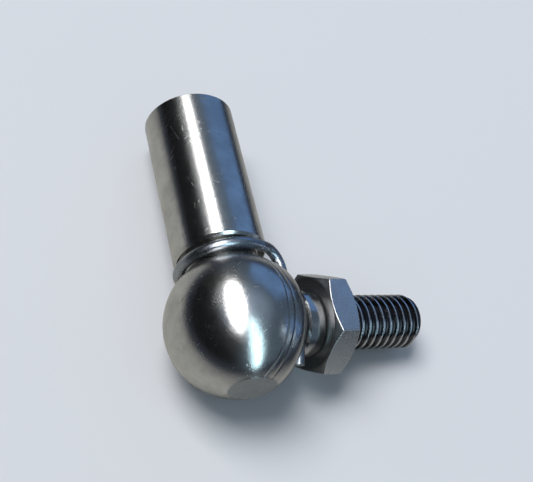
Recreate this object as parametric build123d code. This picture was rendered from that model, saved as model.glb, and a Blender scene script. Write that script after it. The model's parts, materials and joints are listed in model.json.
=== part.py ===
from build123d import *
from math import acos, asin, atan2, cos, hypot, radians, sin, sqrt, tan
import os

# Angle ball joint, size 13 with M8 threads, lying on its side on a flat surface.
# Lengths are in millimetres and angles in degrees. Distances along the shank, the
# cup and the stud are counted from the centre of the ball.

# Ball, cup and the swivel that they allow
ball_radius = 6.5
cup_clearance = 0.05
cup_face = 4.65
mouth_chamfer = 0.3
swivel_limit = 18.0

# Socket head, neck and shank
head_radius = 9.65
head_rim_start = 2.3
head_rim_inset = 0.16
head_face_inset = 1.36
head_flat_radius = 2.97
neck_radius = 4.95
neck_length = 2.07
neck_sunk = 0.5
neck_corner_radius = 0.3
shank_radius = 6.5
shank_end = 34.8
shank_lower_chamfer = 0.35
shank_end_chamfer = 0.35

# Tapping hole for the thread in the shank
hole_radius = 3.4
hole_depth = 19.5
hole_point_angle = 118.0
hole_countersink_radius = 4.2
hole_overshoot = 1.0

# Snap ring, in its groove inside the cup
ring_wire_radius = 0.6
ring_plane = 3.2
ring_ball_clearance = 0.1
ring_groove_clearance = 0.05
ring_gap_angle = 30.0

# Safety clip, one bent spring wire round the neck and down both sides of the stud. Its arms rise
# from the crook to the shoulder, and its legs stand closer together than its arms.
clip_wire_radius = 0.75
clip_face_clearance = 0.05
clip_neck_clearance = 0.45
clip_height_on_neck = 1.0
clip_tilt = 5.0
clip_crook = 1.5
clip_crook_bend = 2.0
clip_shoulder_rise = 0.38
clip_shoulder_bend = 2.4
clip_leg_inset = 0.65
clip_knee_level = -3.4
clip_knee_bend = 4.0
clip_foot_level = -6.95
clip_foot_inset = 1.25

# Ball stud
stud_neck_radius = 2.7
stud_neck_bend = 0.5
collar_radius = 4.8
collar_start = 8.6
collar_end = 11.5
collar_chamfer = 0.3
collar_rounding = 0.6
thread_radius = 3.9
thread_pitch_radius = 3.6
thread_pitch = 1.25
thread_flank_angle = 30.0
thread_cut_overshoot = 0.05
thread_end = 29.65
thread_end_chamfer = 0.9

# Hexagon nut, seated on the collar
nut_across_flats = 13.0
nut_height = 4.0
nut_face_radius = 6.4
nut_chamfer_angle = 30.0
nut_thread_clearance = 0.05
nut_countersink_radius = 4.0
nut_chamfer_overhang = 1.0
nut_turn = 6.8

# Angle between the stud and the shank as the joint lies
stud_to_shank_angle = 85.3

# Sizes that follow from the ones above
head_flat = sqrt(head_radius**2 - head_flat_radius**2)
neck_start = sqrt(head_radius**2 - neck_radius**2)
neck_root = neck_start - neck_sunk
neck_top = neck_start + neck_length
face_rim_radius = head_radius - head_face_inset
cup_radius = ball_radius + cup_clearance
ring_radius = sqrt((ball_radius + ring_ball_clearance + ring_wire_radius)**2 - ring_plane**2)
groove_radius = ring_radius + ring_wire_radius + ring_groove_clearance
groove_half_width = ring_wire_radius + ring_groove_clearance
clip_radius = neck_radius + clip_neck_clearance + clip_wire_radius
clip_front = cup_face + clip_face_clearance + clip_wire_radius
clip_leg_side = clip_radius - clip_leg_inset
clip_foot_side = clip_leg_side - clip_foot_inset
clip_level = neck_start + clip_height_on_neck
nut_end = collar_end + nut_height
thread_depth = 5 / 8 * thread_pitch * cos(radians(thread_flank_angle))
thread_root_radius = thread_radius - thread_depth
thread_grooves = int((thread_end - nut_end) / thread_pitch)
nut_corner_radius = nut_across_flats / 2 / cos(radians(30))
nut_bore_radius = thread_pitch_radius + nut_thread_clearance
nut_chamfer_slope = tan(radians(nut_chamfer_angle))


def turned(outline):
    """Solid of revolution about the local Z axis from edges in the local XZ plane."""
    return revolve(Plane.XZ * make_face(outline), Axis.Z)


def make_cup_cutter():
    """Tool shape of the cup: ball seat, ring groove, chamfered mouth and the flat face round it."""
    groove_start = ring_plane - groove_half_width
    groove_end = ring_plane + groove_half_width
    outside = face_rim_radius + mouth_chamfer
    halfway = cup_radius * sin(radians(45))
    seat = ThreePointArc((0, -cup_radius), (halfway, -halfway), (cup_radius, 0))
    mouth = Polyline((cup_radius, 0), (cup_radius, groove_start), (groove_radius, groove_start),
                     (groove_radius, groove_end), (cup_radius, groove_end),
                     (cup_radius, cup_face - mouth_chamfer), (cup_radius + mouth_chamfer, cup_face),
                     (outside, cup_face), (outside, head_radius), (0, head_radius), (0, -cup_radius))
    return turned(seat + mouth)


def make_tapping_hole():
    """Blind hole with a drill point and a countersunk mouth, along the shank from its end."""
    bottom = shank_end - hole_depth
    point = bottom - hole_radius / tan(radians(hole_point_angle / 2))
    mouth = shank_end - (hole_countersink_radius - hole_radius)
    outside = shank_end + hole_overshoot
    return turned(Polyline((0, point), (hole_radius, bottom), (hole_radius, mouth),
                           (hole_countersink_radius, shank_end), (hole_countersink_radius, outside),
                           (0, outside), (0, point)))


def make_head():
    """Round head about the cup's axis: a ball behind, and fuller in front with a rounded rim."""
    side = TangentArc((head_radius, 0), (head_radius - head_rim_inset, head_rim_start), tangent=(0, 1))
    rim = TangentArc(side @ 1, (face_rim_radius, cup_face), tangent=side % 1)
    face = Polyline(rim @ 1, (0, cup_face), (0, 0), (head_radius, 0))
    # The ball's poles are on the shank's axis, where the shank and the flat take their place.
    ball = Rot(0, -90, 0) * Sphere(head_radius)
    return turned(side + rim + face) + split(ball, Plane.XY, keep=Keep.BOTTOM)


def make_shank():
    """Turned neck and shank, from inside the head to the shank's end."""
    corner = neck_corner_radius
    neck = Polyline((0, neck_root), (neck_radius, neck_root), (neck_radius, neck_top - corner))
    neck_corner = RadiusArc((neck_radius, neck_top - corner), (neck_radius + corner, neck_top), corner)
    shank = Polyline((neck_radius + corner, neck_top), (shank_radius - shank_lower_chamfer, neck_top),
                     (shank_radius, neck_top + shank_lower_chamfer),
                     (shank_radius, shank_end - shank_end_chamfer),
                     (shank_radius - shank_end_chamfer, shank_end), (0, shank_end), (0, neck_root))
    return turned(neck + neck_corner + shank)


def make_socket():
    """Head and shank in one, with a flat under the head, bored for the thread and for the ball."""
    to_cup = Plane(origin=(0, 0, 0), x_dir=(0, 0, 1), z_dir=(1, 0, 0)).location
    below = (Align.CENTER, Align.CENTER, Align.MAX)
    flat = Pos(0, 0, -head_flat) * Cylinder(head_radius, head_radius, align=below)
    body = to_cup * make_head() - flat + make_shank()
    return body - make_tapping_hole() - to_cup * make_cup_cutter()


def make_snap_ring():
    """Open ring of round wire that stops the ball at the cup's mouth."""
    section = Plane.XZ * Pos(ring_radius, ring_plane) * Circle(ring_wire_radius)
    ring = revolve(section, Axis.Z, revolution_arc=360 - ring_gap_angle)
    return Rot(0, 0, ring_gap_angle / 2) * ring


def make_safety_clip():
    """Bent wire: half a turn round the neck, two arms to the face, and two legs beside the stud."""
    slope = tan(radians(clip_tilt))
    shoulder_level = clip_level + clip_front * slope + clip_shoulder_rise

    def arm_and_leg(side):
        foot = Vector(clip_front, side * clip_foot_side, clip_foot_level)
        knee = Vector(clip_front, side * clip_leg_side, clip_knee_level)
        shoulder = Vector(clip_front, side * clip_leg_side, shoulder_level)
        crook = Vector(clip_crook, side * clip_radius, clip_level + clip_crook * slope)
        start = Vector(0, side * clip_radius, clip_level)
        return FilletPolyline(foot, knee, shoulder, crook, start,
                              radius=(clip_knee_bend, clip_shoulder_bend, clip_crook_bend))

    tilt = radians(clip_tilt)
    back = ThreePointArc((0, clip_radius, clip_level),
                         (-clip_radius * cos(tilt), 0, clip_level - clip_radius * sin(tilt)),
                         (0, -clip_radius, clip_level))
    first = arm_and_leg(1)
    path = Wire(first.edges() + back.edges() + arm_and_leg(-1).edges())
    section = Plane(origin=first @ 0, z_dir=first % 0) * Circle(clip_wire_radius)
    return sweep(section, path=path)


def make_thread_grooves():
    """Rings with the section and pitch of the thread's groove, in place of its helix, past the nut."""
    mouth_radius = thread_radius + thread_cut_overshoot
    root_half_width = thread_pitch / 8
    flank = (mouth_radius - thread_root_radius) * tan(radians(thread_flank_angle))
    mouth_half_width = root_half_width + flank
    groove = turned(Polyline((thread_root_radius, -root_half_width), (mouth_radius, -mouth_half_width),
                             (mouth_radius, mouth_half_width), (thread_root_radius, root_half_width),
                             (thread_root_radius, -root_half_width)))
    return [Pos(0, 0, nut_end + (turn + 1 / 2) * thread_pitch) * groove for turn in range(thread_grooves)]


def make_ball_stud():
    """Turned ball, neck, collar and threaded shank; inside the nut the thread is a plain round."""
    neck_start_at = sqrt(ball_radius**2 - stud_neck_radius**2)
    bend = stud_neck_bend
    ball = ThreePointArc((0, -ball_radius), (ball_radius, 0), (stud_neck_radius, neck_start_at))
    neck = Polyline((stud_neck_radius, neck_start_at), (stud_neck_radius, collar_start - bend))
    neck_corner = RadiusArc(neck @ 1, (stud_neck_radius + bend, collar_start), bend)
    collar = Polyline(neck_corner @ 1, (collar_radius - collar_chamfer, collar_start),
                      (collar_radius, collar_start + collar_chamfer),
                      (collar_radius, collar_end - collar_rounding))
    collar_edge = RadiusArc(collar @ 1, (collar_radius - collar_rounding, collar_end), -collar_rounding)
    thread = Polyline((collar_radius - collar_rounding, collar_end), (thread_pitch_radius, collar_end),
                      (thread_pitch_radius, nut_end), (thread_radius, nut_end),
                      (thread_radius, thread_end - thread_end_chamfer),
                      (thread_radius - thread_end_chamfer, thread_end), (0, thread_end), (0, -ball_radius))
    return turned(ball + neck + neck_corner + collar + collar_edge + thread) - make_thread_grooves()


def make_hex_nut():
    """Thin hexagon nut, chamfered on both faces and countersunk at both ends of its bore."""
    prism = extrude(RegularPolygon(nut_corner_radius, 6), nut_height)
    overhang = nut_corner_radius + nut_chamfer_overhang
    drop = (overhang - nut_face_radius) * nut_chamfer_slope
    chamfers = turned(Polyline((0, 0), (nut_face_radius, 0), (overhang, drop), (overhang, nut_height - drop),
                               (nut_face_radius, nut_height), (0, nut_height), (0, 0)))
    sink = nut_countersink_radius - nut_bore_radius
    bore = turned(Polyline((0, 0), (nut_countersink_radius, 0), (nut_bore_radius, sink),
                           (nut_bore_radius, nut_height - sink), (nut_countersink_radius, nut_height),
                           (0, nut_height), (0, 0)))
    return Pos(0, 0, collar_end) * Rot(0, 0, nut_turn) * (prism & chamfers) - Pos(0, 0, collar_end) * bore


def lying_slope(ball_height, reach, radius):
    """Slope at which an edge of this radius, this far from the ball, touches the surface."""
    return asin(ball_height / hypot(reach, radius)) - atan2(radius, reach)


def lying_axes(ball_height):
    """Axes of the shank, the stud and the cup as the joint lies, with the ball's centre at this height."""
    # The shank slopes down to the edge of its end, and the stud to the lowest corner of its nut.
    shank_slope = lying_slope(ball_height, shank_end - shank_end_chamfer, shank_radius)
    shank = Vector(0, cos(shank_slope), -sin(shank_slope))
    corner_turn = abs((nut_turn + 60) % 60 - 30)
    corner_reach = nut_end - (nut_corner_radius - nut_face_radius) * nut_chamfer_slope
    stud_slope = lying_slope(ball_height, corner_reach, nut_corner_radius * cos(radians(corner_turn)))
    fall = -sin(stud_slope)
    lead = (cos(radians(stud_to_shank_angle)) + fall * sin(shank_slope)) / cos(shank_slope)
    stud = Vector(sqrt(1 - lead**2 - fall**2), lead, fall)
    # The cup faces lower than the stud, which leans upwards against the end of its swivel.
    level = (stud - shank * stud.dot(shank)).normalized()
    cup_roll = acos(cos(radians(swivel_limit)) / stud.dot(level))
    return shank, stud, level * cos(cup_roll) - level.cross(shank) * sin(cup_roll)


def frame_along(axis, towards):
    """Location at the ball's centre with Z along axis and X on the side of towards."""
    return Plane(origin=(0, 0, 0), x_dir=towards - axis * axis.dot(towards), z_dir=axis).location


# The head's front is fuller than a ball, so its depth under the ball's centre depends on how it lies.
shank_axis, stud_axis, cup_axis = lying_axes(head_radius)
ball_height = -(frame_along(cup_axis, shank_axis) * make_head()).bounding_box().min.Z
shank_axis, stud_axis, cup_axis = lying_axes(ball_height)

nodes = {
    "socket": frame_along(shank_axis, cup_axis) * make_socket(),
    "safety_clip": frame_along(shank_axis, cup_axis) * make_safety_clip(),
    "snap_ring": frame_along(cup_axis, shank_axis) * make_snap_ring(),
    "ball_stud": frame_along(stud_axis, shank_axis) * make_ball_stud(),
    "hex_nut": frame_along(stud_axis, shank_axis) * make_hex_nut(),
}

# The surface is at Z = 0, with the origin under the middle of the whole joint.
extent = Compound(list(nodes.values())).bounding_box()
ball_centre = Vector(-extent.center().X, -extent.center().Y, ball_height)

os.makedirs("parts", exist_ok=True)
for name, solid in nodes.items():
    export_step(Pos(ball_centre) * solid, f"parts/{name}.step")
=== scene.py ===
import bpy
import bmesh
import json
from math import atan2, cos, pi, radians, sin, sqrt, tan
from mathutils import Matrix, Vector


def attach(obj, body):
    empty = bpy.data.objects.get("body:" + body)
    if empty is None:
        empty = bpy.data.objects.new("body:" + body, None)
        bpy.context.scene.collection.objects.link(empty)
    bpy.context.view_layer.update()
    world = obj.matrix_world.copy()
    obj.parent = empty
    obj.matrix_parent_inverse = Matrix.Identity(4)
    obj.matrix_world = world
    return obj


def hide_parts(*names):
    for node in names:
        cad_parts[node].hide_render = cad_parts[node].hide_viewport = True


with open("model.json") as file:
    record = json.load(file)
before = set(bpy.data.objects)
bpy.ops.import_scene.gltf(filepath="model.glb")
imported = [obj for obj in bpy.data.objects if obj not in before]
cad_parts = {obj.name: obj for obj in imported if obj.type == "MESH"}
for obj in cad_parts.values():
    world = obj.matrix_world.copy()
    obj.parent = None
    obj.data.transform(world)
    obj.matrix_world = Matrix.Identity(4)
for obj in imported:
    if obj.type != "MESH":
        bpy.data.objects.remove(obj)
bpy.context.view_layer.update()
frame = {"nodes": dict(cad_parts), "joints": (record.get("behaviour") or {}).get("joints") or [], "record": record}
record = frame["record"]
solids = frame["nodes"]
joints = {joint["name"]: joint for joint in frame["joints"]}
mounts = {mount["name"]: mount for mount in record["mounts"]}

mm = 0.001

# The joint's axes all pass through the centre of the ball.
ball_centre = Vector(joints["stud_lean"]["pos_m"])
cup_axis = Vector(joints["snap_ring_turn"]["axis"])
shank_axis = Vector(mounts["shank_thread"]["axis"])
stud_axis = Vector(mounts["stud_thread"]["axis"])

# Ball stud, along its axis from the centre of the ball
ball_radius = 6.5 * mm
stud_neck_radius = 2.7 * mm
stud_neck_bend = 0.5 * mm
collar_radius = 4.8 * mm
collar_start = 8.6 * mm
collar_end = 11.5 * mm
collar_chamfer = 0.3 * mm
collar_rounding = 0.6 * mm
nut_end = 15.5 * mm
stud_end = 29.65 * mm
stud_end_radius = 3.0 * mm
stud_columns = 96
ball_rows = 48

# Thread of the stud, cut down to its pitch radius inside the nut
thread_pitch = 1.25 * mm
thread_crest = 3.9 * mm
thread_root = 3.22 * mm
thread_in_nut = 3.6 * mm
crest_rounding = 0.02 * mm
root_rounding = 0.05 * mm
# One pitch of its section, as (part of the pitch, radius)
thread_section = [
    (0, thread_crest - crest_rounding),
    (0.06, thread_crest),
    (0.125, thread_crest - crest_rounding),
    (0.45, thread_root + root_rounding),
    (0.56, thread_root),
    (0.67, thread_root + root_rounding),
]

# Thread in the shank's hole, along its axis from the centre of the ball: a low ridge, a little
# sunk into the wall, whose width is given from its middle in parts of the pitch
hole_radius = 3.4 * mm
hole_thread_start = 16.5 * mm
hole_thread_end = 33.4 * mm
hole_thread_rise = 0.15 * mm
hole_thread_sunk = 0.04 * mm
hole_thread_foot = 0.36
hole_thread_top = 0.08
hole_columns = 48

# Hexagon nut, seated on the collar
nut_across_flats = 13.0 * mm
nut_face_radius = 6.4 * mm
nut_chamfer_angle = 30
nut_bore_radius = 3.65 * mm
nut_countersink_radius = 4.0 * mm
nut_turn = 6.8
nut_corner_softening = 0.25 * mm
nut_edge_softening = 0.065 * mm

# The camera stands where the photograph was taken from. Its azimuth counts from +Y towards +X, and
# the ball's centre is given in the camera's own frame, whose -Z is the way it looks.
camera_azimuth = 220.33
camera_elevation = 55.01
camera_roll = 33.79
ball_in_camera = Vector((-4.0, -11.1, -138.4)) * mm
camera_lens = 71.05

# Floor and room, as the camera sees them and as the metal reflects them
floor_colour = (0.70, 0.705, 0.73)
floor_in_metal = (0.47, 0.455, 0.42)
far_floor_in_metal = (0.03, 0.035, 0.05)
floor_near = 0.028
floor_far = 0.08
floor_middle = (-0.022, 0, 0)
backdrop_colour = (0.66, 0.70, 0.76)
dark_wall_in_metal = (0.006, 0.006, 0.007)
light_wall_in_metal = (0.085, 0.12, 0.165)
ceiling_in_metal = (0.25, 0.33, 0.45)
room_light = (0.215, 0.26, 0.30)

# Steel, with lengths in mm
pit_colour = (0.10, 0.10, 0.11)
# Painted shade in the thread's grooves
groove_shade_colour = (0.08, 0.08, 0.09)
# Painted highlight on the thread's crests
crest_highlight_colour = (0.85, 0.86, 0.88)
# Painted shade on the nut's machined ends, lighter and darker along the tool rings
nut_face_shade_dark = (0.12, 0.12, 0.12)
nut_face_shade_light = (0.30, 0.30, 0.31)
# Painted shade, bluish, on the flat at the end of the head
head_flat_shade_colour = (0.33, 0.35, 0.375)
head_flat_height = -9.18
faced_roughness = 0.08
faced_relief = 0.03
scratch_width = 0.09
scratch_roughness = 0.15
# Scratches in three directions: turn in degrees, lines per mm, and scratched areas per mm
scratch_sets = [
    ((20, 70, 15), 0.13, 0.5),
    ((80, 10, 50), 0.17, 0.9),
    ((40, 30, 110), 0.10, 0.7),
]
# Rings round the head: distance from the ball's centre along the cup's axis, and half width, in mm
head_rings = [(-0.45, 0.24), (0.75, 0.34)]
head_ring_depth = 0.04


def axis_frame(axis, towards):
    """Matrix of the frame at the ball's centre with Z along axis and X on the side of towards."""
    x = (towards - axis * towards.dot(axis)).normalized()
    return Matrix.Translation(ball_centre) @ Matrix((x, axis.cross(x), axis)).transposed().to_4x4()


def direction(azimuth, elevation):
    """Unit vector at a compass azimuth, counted from +Y towards +X, and an elevation, in degrees."""
    level = cos(radians(elevation))
    return Vector((sin(radians(azimuth)) * level, cos(radians(azimuth)) * level, sin(radians(elevation))))


def new_mesh(name, vertices, faces, crease=30):
    """Object from vertices and faces, smooth but for edges sharper than crease degrees."""
    merged_under = 0.0001 * mm
    mesh = bpy.data.meshes.new(name)
    mesh.from_pydata(vertices, [], faces)
    shape = bmesh.new()
    shape.from_mesh(mesh)
    bmesh.ops.remove_doubles(shape, verts=shape.verts, dist=merged_under)
    bmesh.ops.dissolve_degenerate(shape, edges=shape.edges, dist=merged_under)
    bmesh.ops.recalc_face_normals(shape, faces=shape.faces)
    shape.to_mesh(mesh)
    shape.free()
    mesh.shade_smooth()
    mesh.set_sharp_from_angle(angle=radians(crease))
    piece = bpy.data.objects.new(name, mesh)
    bpy.context.scene.collection.objects.link(piece)
    return piece


def arc(centre, radius, start, end, steps):
    """Points (radius, height) of an arc in an outline, from start to end degrees."""
    turns = [radians(start + (end - start) * step / steps) for step in range(steps + 1)]
    return [(centre[0] + radius * cos(turn), centre[1] + radius * sin(turn)) for turn in turns]


def thread_limit(height):
    """Radius of the stud's blank, which the thread doesn't rise above."""
    if height < nut_end:
        return thread_in_nut
    return min(thread_crest, stud_end_radius + (stud_end - height))


def make_ball_stud(place):
    """Turned ball, neck and collar, and a helical thread, as one surface."""
    # Outline of the ball, the neck and the collar, as (radius, height)
    neck_start = sqrt(ball_radius**2 - stud_neck_radius**2)
    outline = [(0, -ball_radius)]
    for row in range(1, ball_rows + 1):
        height = -ball_radius * cos(pi * row / ball_rows)
        if height < neck_start:
            outline.append((sqrt(ball_radius**2 - height**2), height))
    outline.append((stud_neck_radius, neck_start))
    bend_centre = (stud_neck_radius + stud_neck_bend, collar_start - stud_neck_bend)
    outline += arc(bend_centre, stud_neck_bend, 180, 90, 6)
    outline.append((collar_radius - collar_chamfer, collar_start))
    outline.append((collar_radius, collar_start + collar_chamfer))
    rounding_centre = (collar_radius - collar_rounding, collar_end - collar_rounding)
    outline += arc(rounding_centre, collar_rounding, 0, 90, 8)
    outline.append((thread_in_nut, collar_end))

    vertices = []
    faces = []
    for radius, height in outline:
        for column in range(stud_columns):
            turn = 2 * pi * column / stud_columns
            vertices.append((radius * cos(turn), radius * sin(turn), height))
    for row in range(len(outline) - 1):
        for column in range(stud_columns):
            after = (column + 1) % stud_columns
            faces.append((row * stud_columns + column, row * stud_columns + after,
                          (row + 1) * stud_columns + after, (row + 1) * stud_columns + column))

    # The thread's rows climb a pitch in a turn, and are cut off level at the collar and the end.
    pitches = int((stud_end - collar_end) / thread_pitch) + 2
    rows = []
    for pitch in range(-1, pitches):
        for part, radius in thread_section:
            rows.append(((pitch + part) * thread_pitch, radius))
    base = len(vertices)
    for climbed, radius in rows:
        for column in range(stud_columns):
            turn = 2 * pi * column / stud_columns
            height = collar_end + climbed + thread_pitch * column / stud_columns
            limited = min(radius, thread_limit(height))
            if height <= collar_end:
                height = collar_end
                limited = thread_in_nut
            if height >= stud_end:
                height = stud_end
                limited = stud_end_radius
            vertices.append((limited * cos(turn), limited * sin(turn), height))
    in_pitch = len(thread_section)
    for row in range(len(rows) - 1):
        for column in range(stud_columns):
            if column < stud_columns - 1:
                here = (row, column), (row, column + 1), (row + 1, column + 1), (row + 1, column)
            elif row + in_pitch + 1 < len(rows):
                here = (row, column), (row + in_pitch, 0), (row + in_pitch + 1, 0), (row + 1, column)
            else:
                continue
            faces.append(tuple(base + r * stud_columns + c for r, c in here))
    last_row = base + (len(rows) - 1) * stud_columns
    faces.append(tuple(last_row + column for column in range(stud_columns)))
    return new_mesh("threaded_ball_stud", [place @ Vector(vertex) for vertex in vertices], faces)


def make_hex_nut(place):
    """Chamfered hexagon nut whose edges are a little rounded, as a grid of columns round its axis."""
    # Columns round each corner, close together where it is rounded, as (turn, radius of the side)
    half_side = radians(30)
    flat_radius = nut_across_flats / 2
    softening = nut_corner_softening
    centre = (flat_radius - softening) / cos(half_side)
    rounded = atan2(softening * sin(half_side), centre + softening * cos(half_side))
    half_corner = [rounded * step / 4 for step in range(5)]
    half_corner += [rounded + (half_side - rounded) * part for part in (0.03, 0.2, 0.4, 0.6, 0.8)]
    columns = []
    for corner in range(6):
        for turn in [-turn for turn in reversed(half_corner[1:])] + half_corner + [half_side]:
            if abs(turn) <= rounded:
                side = centre * cos(turn) + sqrt(max(softening**2 - (centre * sin(turn))**2, 0))
            else:
                side = flat_radius / cos(half_side - abs(turn))
            columns.append((radians(60 * corner + nut_turn) + turn, side))

    # Rows from the bore over one face and the side, and back over the other face. The rows close
    # beside each softened edge keep the flats flat to the eye.
    slope = tan(radians(nut_chamfer_angle))
    countersink = nut_countersink_radius - nut_bore_radius
    middle = (collar_end + nut_end) / 2
    half_height = (nut_end - collar_end) / 2
    grid = []
    for turn, side in columns:
        # Where the chamfer is narrow, its edges are softened over no more than a third of it or so.
        soft = min(nut_edge_softening, 0.35 * (side - nut_face_radius))
        drop = (side - nut_face_radius) * slope
        half_row = [
            (nut_bore_radius, countersink),
            (nut_countersink_radius, 0),
            (nut_countersink_radius + soft, 0),
            (nut_face_radius - 2 * soft, 0),
            (nut_face_radius - soft, 0),
            (nut_face_radius + soft, soft * slope),
            (side - 1.6 * soft, drop - 1.6 * soft * slope),
            (side - soft, drop - soft * slope),
            (side - 0.3 * soft, drop + 0.12 * soft),
            (side, drop + soft),
            (side, drop + 1.6 * soft),
        ]
        row = [(radius, middle - half_height + height) for radius, height in half_row]
        row += [(radius, middle + half_height - height) for radius, height in reversed(half_row)]
        grid.append([])
        for radius, height in row:
            grid[-1].append(place @ Vector((radius * cos(turn), radius * sin(turn), height)))
    rows = len(grid[0])
    faces = []
    for column in range(len(grid)):
        after = (column + 1) % len(grid)
        for row in range(rows):
            above = (row + 1) % rows
            faces.append((column * rows + row, after * rows + row,
                          after * rows + above, column * rows + above))
    return new_mesh("hexagon_nut", [vertex for row in grid for vertex in row], faces, crease=40)


def make_hole_thread(place):
    """Helical ridge of the thread on the wall of the shank's hole."""
    foot_radius = hole_radius + hole_thread_sunk
    top_radius = hole_radius - hole_thread_rise
    section = [(foot_radius, -hole_thread_foot), (top_radius, -hole_thread_top),
               (top_radius, hole_thread_top), (foot_radius, hole_thread_foot)]
    steps = int((hole_thread_end - hole_thread_start) / thread_pitch * hole_columns)
    vertices = []
    faces = [(3, 2, 1, 0)]
    for step in range(steps + 1):
        turn = 2 * pi * step / hole_columns
        for radius, part in section:
            height = hole_thread_start + thread_pitch * (step / hole_columns + part)
            vertices.append(place @ Vector((radius * cos(turn), radius * sin(turn), height)))
    for step in range(steps):
        for corner in range(4):
            after = (corner + 1) % 4
            faces.append((4 * step + corner, 4 * step + after, 4 * step + 4 + after, 4 * step + 4 + corner))
    faces.append(tuple(4 * steps + corner for corner in range(4)))
    return new_mesh("hole_thread", vertices, faces)


class Nodes:
    """Short names for adding nodes to the tree of a material or of the world."""

    def __init__(self, tree):
        self.tree = tree

    def coordinates(self, kind):
        return self.tree.nodes.new("ShaderNodeTexCoord").outputs[kind]

    def ray(self, kind):
        """1 for a ray of this kind, 0 for the others."""
        return self.tree.nodes.new("ShaderNodeLightPath").outputs[kind]

    def feed(self, socket, value):
        """Link a node's output to the socket, or set the socket to a number or a colour."""
        if isinstance(value, bpy.types.NodeSocket):
            self.tree.links.new(value, socket)
        else:
            socket.default_value = value

    def math(self, operation, *values):
        node = self.tree.nodes.new("ShaderNodeMath")
        node.operation = operation
        for socket, value in zip(node.inputs, values):
            self.feed(socket, value)
        return node.outputs[0]

    def vector(self, operation, value, second):
        node = self.tree.nodes.new("ShaderNodeVectorMath")
        node.operation = operation
        self.feed(node.inputs[0], value)
        node.inputs[1].default_value = second
        return node.outputs["Vector"]

    def length(self, value):
        node = self.tree.nodes.new("ShaderNodeVectorMath")
        node.operation = "LENGTH"
        self.feed(node.inputs[0], value)
        return node.outputs["Value"]

    def along(self, value, axis):
        """How far value reaches along axis."""
        node = self.tree.nodes.new("ShaderNodeVectorMath")
        node.operation = "DOT_PRODUCT"
        self.feed(node.inputs[0], value)
        node.inputs[1].default_value = axis
        return node.outputs["Value"]

    def span(self, value, low, high, to_low=0.0, to_high=1.0):
        """Value from low to high, turned into to_low to to_high and kept between them."""
        node = self.tree.nodes.new("ShaderNodeMapRange")
        self.feed(node.inputs["Value"], value)
        for name, number in zip(("From Min", "From Max", "To Min", "To Max"), (low, high, to_low, to_high)):
            node.inputs[name].default_value = number
        return node.outputs["Result"]

    def blend(self, factor, first, second):
        """Colour from first, where factor is 0, to second, where it is 1."""
        node = self.tree.nodes.new("ShaderNodeMix")
        node.data_type = "RGBA"
        self.feed(node.inputs["Factor"], factor)
        for name, colour in (("A", first), ("B", second)):
            self.feed(node.inputs[name], (*colour, 1) if isinstance(colour, tuple) else colour)
        return node.outputs["Result"]


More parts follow.
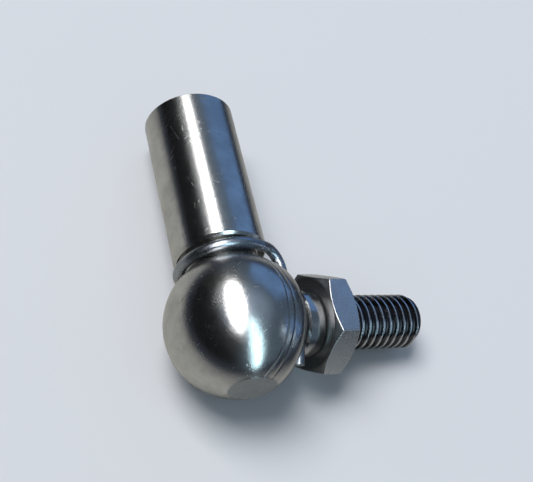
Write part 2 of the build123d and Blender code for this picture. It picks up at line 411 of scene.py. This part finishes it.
class Steel(Nodes):
    """Worn steel: bright and dull patches, grain, a slight sway, fine scratches and small pits.

    Grain, sway and scratched are depths in mm, and pitted goes from 0 for none to 1.
    """

    def __init__(self, name, bright, dull, roughness, grain, sway, scratched, pitted):
        self.material = bpy.data.materials.new(name)
        self.material.use_nodes = True
        super().__init__(self.material.node_tree)
        self.in_mm = self.vector("MULTIPLY", self.coordinates("Object"), (1000, 1000, 1000))
        self.from_centre = self.vector("SUBTRACT", self.in_mm, ball_centre / mm)

        patches = self.noise(0.35, detail=4, roughness=0.6)
        fine = self.noise(5.0, detail=3)
        scratches = self.scratches()
        pits = self.pits()
        self.tone = self.blend(self.span(patches, 0.35, 0.65), bright, dull)
        self.tone = self.blend(self.math("MULTIPLY", pits, 0.5 * pitted), self.tone, pit_colour)
        self.rough = self.math("ADD", self.span(patches, 0.3, 0.7, roughness - 0.03, roughness + 0.04),
                               self.span(fine, 0.35, 0.65, -0.03, 0.03))
        self.rough = self.math("ADD", self.rough, self.math("MULTIPLY", scratches, scratch_roughness))
        self.relief = self.bump(self.noise(0.45, detail=2), sway)
        self.relief = self.bump(fine, grain, self.relief)
        self.relief = self.bump(self.math("SUBTRACT", 0.0, scratches), scratched, self.relief)
        self.relief = self.bump(self.math("SUBTRACT", 0.0, pits), 0.03 * pitted, self.relief)

    def stretched(self, turn, stretch):
        """Coordinates in mm, turned and squeezed, so that a texture on them is drawn out."""
        node = self.tree.nodes.new("ShaderNodeMapping")
        node.vector_type = "TEXTURE"
        self.feed(node.inputs["Vector"], self.in_mm)
        node.inputs["Rotation"].default_value = [radians(angle) for angle in turn]
        node.inputs["Scale"].default_value = stretch
        return node.outputs[0]

    def noise(self, per_mm, detail, place=None, roughness=0.5):
        node = self.tree.nodes.new("ShaderNodeTexNoise")
        self.feed(node.inputs["Vector"], self.in_mm if place is None else place)
        node.inputs["Scale"].default_value = per_mm
        node.inputs["Detail"].default_value = detail
        node.inputs["Roughness"].default_value = roughness
        return node.outputs["Fac"]

    def scratches(self):
        """1 on thin straight lines in some areas of the surface, 0 beside them."""
        total = None
        for turn, per_mm, areas_per_mm in scratch_sets:
            area = self.noise(areas_per_mm, detail=1, place=self.stretched(turn, (1, 1, 1)))
            cells = self.tree.nodes.new("ShaderNodeTexVoronoi")
            cells.feature = "DISTANCE_TO_EDGE"
            self.feed(cells.inputs["Vector"], self.stretched(turn, (1, 2.2, 0.8)))
            cells.inputs["Scale"].default_value = per_mm
            lines = self.span(cells.outputs["Distance"], 0, scratch_width * per_mm / 2, 1, 0)
            some = self.math("MULTIPLY", lines, self.span(area, 0.6, 0.64))
            total = some if total is None else self.math("MAXIMUM", total, some)
        return total

    def pits(self):
        """1 in small round pits in some areas of the surface, 0 beside them."""
        cells = self.tree.nodes.new("ShaderNodeTexVoronoi")
        self.feed(cells.inputs["Vector"], self.in_mm)
        cells.inputs["Scale"].default_value = 0.7
        spots = self.span(cells.outputs["Distance"], 0.05, 0.09, 1, 0)
        return self.math("MULTIPLY", spots, self.span(self.noise(0.5, detail=0), 0.5, 0.56))

    def bump(self, height, depth_mm, under=None):
        """Relief of this depth where height goes from 0 to 1, on top of an earlier relief."""
        node = self.tree.nodes.new("ShaderNodeBump")
        node.inputs["Distance"].default_value = depth_mm * mm
        self.feed(node.inputs["Height"], height)
        if under is not None:
            self.feed(node.inputs["Normal"], under)
        return node.outputs["Normal"]

    def thread(self, axis):
        """Past the nut, a thread along axis gets painted shade in its grooves and a painted highlight on its
        crests.
        """
        root = thread_root / mm
        crest = thread_crest / mm
        radius = self.length(self.vector("CROSS_PRODUCT", self.from_centre, axis))
        past_nut = self.span(self.along(self.from_centre, axis), nut_end / mm, nut_end / mm + 0.1)
        threaded = self.math("MULTIPLY", past_nut, self.span(radius, root - 0.15, root - 0.05))
        shaded_groove = self.math("MULTIPLY", threaded, self.span(radius, crest - 0.22, crest - 0.06, 1, 0))
        highlighted_crest = self.math("MULTIPLY", threaded, self.span(radius, crest - 0.08, crest - 0.03))
        # Painted shade in the grooves, then a painted highlight on the crests
        self.tone = self.blend(shaded_groove, self.tone, groove_shade_colour)
        self.tone = self.blend(highlighted_crest, self.tone, crest_highlight_colour)

    def tool_rings(self, axis, per_mm):
        """Noise in rings about axis, as a lathe's tool leaves them."""
        radius = self.length(self.vector("CROSS_PRODUCT", self.from_centre, axis))
        return self.noise(per_mm, detail=3, place=radius)

    def faced_and_shaded(self, where, colour, rings):
        """Where the steel was machined flat it is rougher and has tool rings, and it gets another colour, a
        painted shade.
        """
        # Painted shade as the colour of the machined face
        self.tone = self.blend(where, self.tone, colour)
        self.rough = self.math("ADD", self.rough, self.math("MULTIPLY", where, faced_roughness))
        self.relief = self.bump(self.math("MULTIPLY", rings, where), faced_relief, self.relief)

    def faced_shaded_ends(self, axis):
        """The ends across axis, whose normals lie within about 35 degrees of it, are machined and painted with
        shade, lighter and darker along the tool rings.
        """
        facing = self.along(self.coordinates("Normal"), axis)
        across = self.span(self.math("ABSOLUTE", facing), 0.8, 0.85)
        rings = self.tool_rings(axis, 2.2)
        # The ends' colour is painted shade, darker than the rest of the nut
        self.faced_and_shaded(across, self.blend(rings, nut_face_shade_dark, nut_face_shade_light), rings)

    def faced_shaded_flat(self, axis, height):
        """The flat at a height in mm along axis is machined, and painted with a bluish shade."""
        flat = self.span(self.along(self.from_centre, axis), height, height + 0.08, 1, 0)
        self.faced_and_shaded(flat, head_flat_shade_colour, self.tool_rings(axis, 3.0))

    def ringed_head(self):
        """Two fine grooves run round the head, where its ball meets its fuller front."""
        sway = self.span(self.noise(0.12, detail=0), 0, 1, -0.3, 0.3)
        level = self.math("ADD", self.along(self.from_centre, cup_axis), sway)
        outside = self.span(self.length(self.from_centre), 9.2, 9.4)
        before_neck = self.span(self.along(self.from_centre, shank_axis), 6.5, 7.5, 1, 0)
        on_head = self.math("MULTIPLY", outside, before_neck)
        for at, width in head_rings:
            ring = self.span(self.math("ABSOLUTE", self.math("SUBTRACT", level, at)), 0, width, 1, 0)
            groove = self.math("SUBTRACT", 0.0, self.math("MULTIPLY", ring, on_head))
            self.relief = self.bump(groove, head_ring_depth, self.relief)

    def drawn_out(self, axis, amount):
        """Steel turned about axis draws its reflections out along it, across the tool's marks."""
        shader = self.tree.nodes["Principled BSDF"]
        self.feed(shader.inputs["Tangent"], self.vector("CROSS_PRODUCT", self.from_centre, axis))
        shader.inputs["Anisotropic"].default_value = amount
        shader.inputs["Anisotropic Rotation"].default_value = 0.25

    def finish(self):
        """The material, with what the methods made linked to its shader."""
        shader = self.tree.nodes["Principled BSDF"]
        shader.inputs["Metallic"].default_value = 1
        self.feed(shader.inputs["Base Color"], self.tone)
        self.feed(shader.inputs["Roughness"], self.rough)
        self.feed(shader.inputs["Normal"], self.relief)
        return self.material


def paint(piece, material):
    piece.data.materials.clear()
    piece.data.materials.append(material)


def panel(name, offset, size, colour, strength, shape="RECTANGLE", level=False):
    """Soft lamp at an offset from the ball's centre, facing the ball, or straight down if level."""
    light = bpy.data.lights.new(name, "AREA")
    light.shape = shape
    light.size = size[0]
    light.size_y = size[1]
    light.color = colour
    light.energy = strength * pi * size[0] * size[1]
    lamp = bpy.data.objects.new(name, light)
    lamp.matrix_world = Matrix.Translation(ball_centre + offset)
    if not level:
        lamp.matrix_world = lamp.matrix_world @ (-offset).to_track_quat("-Z", "Y").to_matrix().to_4x4()
    lamp.visible_camera = False
    bpy.context.scene.collection.objects.link(lamp)
    return lamp


# Camera
right = direction(camera_azimuth - 90, 0)
back = direction(camera_azimuth, camera_elevation)
upright = Matrix((right, back.cross(right), back)).transposed()
camera_turn = upright @ Matrix.Rotation(radians(camera_roll), 3, "Z")
lens = bpy.data.cameras.new("camera")
lens.lens = camera_lens
lens.clip_start = 0.01
camera = bpy.data.objects.new("camera", lens)
camera.matrix_world = Matrix.Translation(ball_centre - camera_turn @ ball_in_camera) @ camera_turn.to_4x4()
bpy.context.scene.collection.objects.link(camera)
bpy.context.scene.camera = camera

# The stud gets its helical thread, the nut its softened edges and the hole its thread.
stud = make_ball_stud(axis_frame(stud_axis, shank_axis))
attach(stud, "ball_stud")
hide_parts("ball_stud")
nut = make_hex_nut(axis_frame(stud_axis, shank_axis))
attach(nut, "hex_nut")
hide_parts("hex_nut")
hole_thread = make_hole_thread(axis_frame(shank_axis, cup_axis))
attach(hole_thread, "socket")

# The wire is drawn, the socket polished, the stud turned and the nut satin.
wire_steel = Steel("spring_wire", bright=(0.40, 0.42, 0.45), dull=(0.31, 0.33, 0.36), roughness=0.28,
                   grain=0.001, sway=0.004, scratched=0.002, pitted=0.3)
wire = wire_steel.finish()
socket_steel = Steel("socket_steel", bright=(0.62, 0.61, 0.59), dull=(0.48, 0.475, 0.46), roughness=0.22,
                     grain=0.008, sway=0.010, scratched=0.006, pitted=1)
socket_steel.ringed_head()
socket_steel.faced_shaded_flat(shank_axis, head_flat_height)
socket_steel.drawn_out(shank_axis, 0.5)
polished = socket_steel.finish()
stud_steel = Steel("stud_steel", bright=(0.60, 0.60, 0.59), dull=(0.48, 0.48, 0.48), roughness=0.17,
                   grain=0.0008, sway=0.004, scratched=0.002, pitted=0.3)
stud_steel.thread(stud_axis)
nut_steel = Steel("nut_steel", bright=(0.72, 0.72, 0.72), dull=(0.60, 0.60, 0.61), roughness=0.29,
                  grain=0.008, sway=0.003, scratched=0.004, pitted=0.6)
nut_steel.faced_shaded_ends(stud_axis)
paint(solids["socket"], polished)
paint(hole_thread, polished)
paint(stud, stud_steel.finish())
paint(nut, nut_steel.finish())
paint(solids["safety_clip"], wire)
paint(solids["snap_ring"], wire)

# Floor. The metal shows it warmer than the camera does, and darker further away.
bpy.ops.mesh.primitive_plane_add(size=6)
floor = bpy.context.object
floor.name = "floor"
ground = bpy.data.materials.new("floor")
ground.use_nodes = True
nodes = Nodes(ground.node_tree)
distance = nodes.length(nodes.vector("SUBTRACT", nodes.coordinates("Object"), floor_middle))
in_metal = nodes.blend(nodes.span(distance, floor_near, floor_far), floor_in_metal, far_floor_in_metal)
shader = nodes.tree.nodes["Principled BSDF"]
nodes.feed(shader.inputs["Base Color"], nodes.blend(nodes.ray("Is Camera Ray"), in_metal, floor_colour))
shader.inputs["Roughness"].default_value = 1
shader.inputs["Specular IOR Level"].default_value = 0
paint(floor, ground)

# The metal shows the two panels of the ceiling, the window and the gap of a door, which light
# nothing else. The key throws the shadows and isn't seen in the metal. Two walls shine blue.
overhead = panel("overhead", Vector((-0.18, 0.162, 0.6)), (0.318, 1.11), (1, 1, 1), 4.4,
                 shape="ELLIPSE", level=True)
overhead.visible_diffuse = False
glow = panel("ceiling_glow", Vector((-0.312, 0.48, 0.612)), (0.6, 0.78), (0.9, 0.95, 1.0), 0.26,
             shape="ELLIPSE", level=True)
glow.visible_diffuse = False
key = panel("key", direction(-50, 62) * 2.4, (1.26, 1.26), (1, 1, 1), 10.1)
key.visible_glossy = False
panel("blue_wall", direction(44, 20), (0.8, 0.8), (0.17, 0.42, 1.0), 0.36)
panel("blue_side", direction(98, 8), (0.2, 0.6), (0.15, 0.40, 1.0), 0.35)
window = panel("window", direction(165, 36), (0.32, 1.7), (0.62, 0.9, 1.0), 3.0, shape="ELLIPSE")
window.visible_diffuse = False
gap = panel("door_gap", direction(112, 10), (0.05, 0.75), (0.7, 0.85, 1.0), 2.0)
gap.visible_diffuse = False

# Room. In the metal its walls go from dark at -X to light at +X, under a lighter ceiling.
world = bpy.data.worlds.new("room")
bpy.context.scene.world = world
world.use_nodes = True
nodes = Nodes(world.node_tree)
towards = nodes.coordinates("Generated")
lightness = nodes.span(nodes.along(towards, (1, 0, 0)), -0.3, 0.2)
upwards = nodes.span(nodes.along(towards, (0, 0, 1)), 0.7, 0.95)
in_metal = nodes.blend(lightness, dark_wall_in_metal, light_wall_in_metal)
in_metal = nodes.blend(upwards, in_metal, ceiling_in_metal)
unseen = nodes.blend(nodes.ray("Is Glossy Ray"), room_light, in_metal)
seen = nodes.blend(nodes.ray("Is Camera Ray"), unseen, backdrop_colour)
nodes.feed(nodes.tree.nodes["Background"].inputs["Color"], seen)

bpy.context.scene.view_settings.view_transform = "Standard"
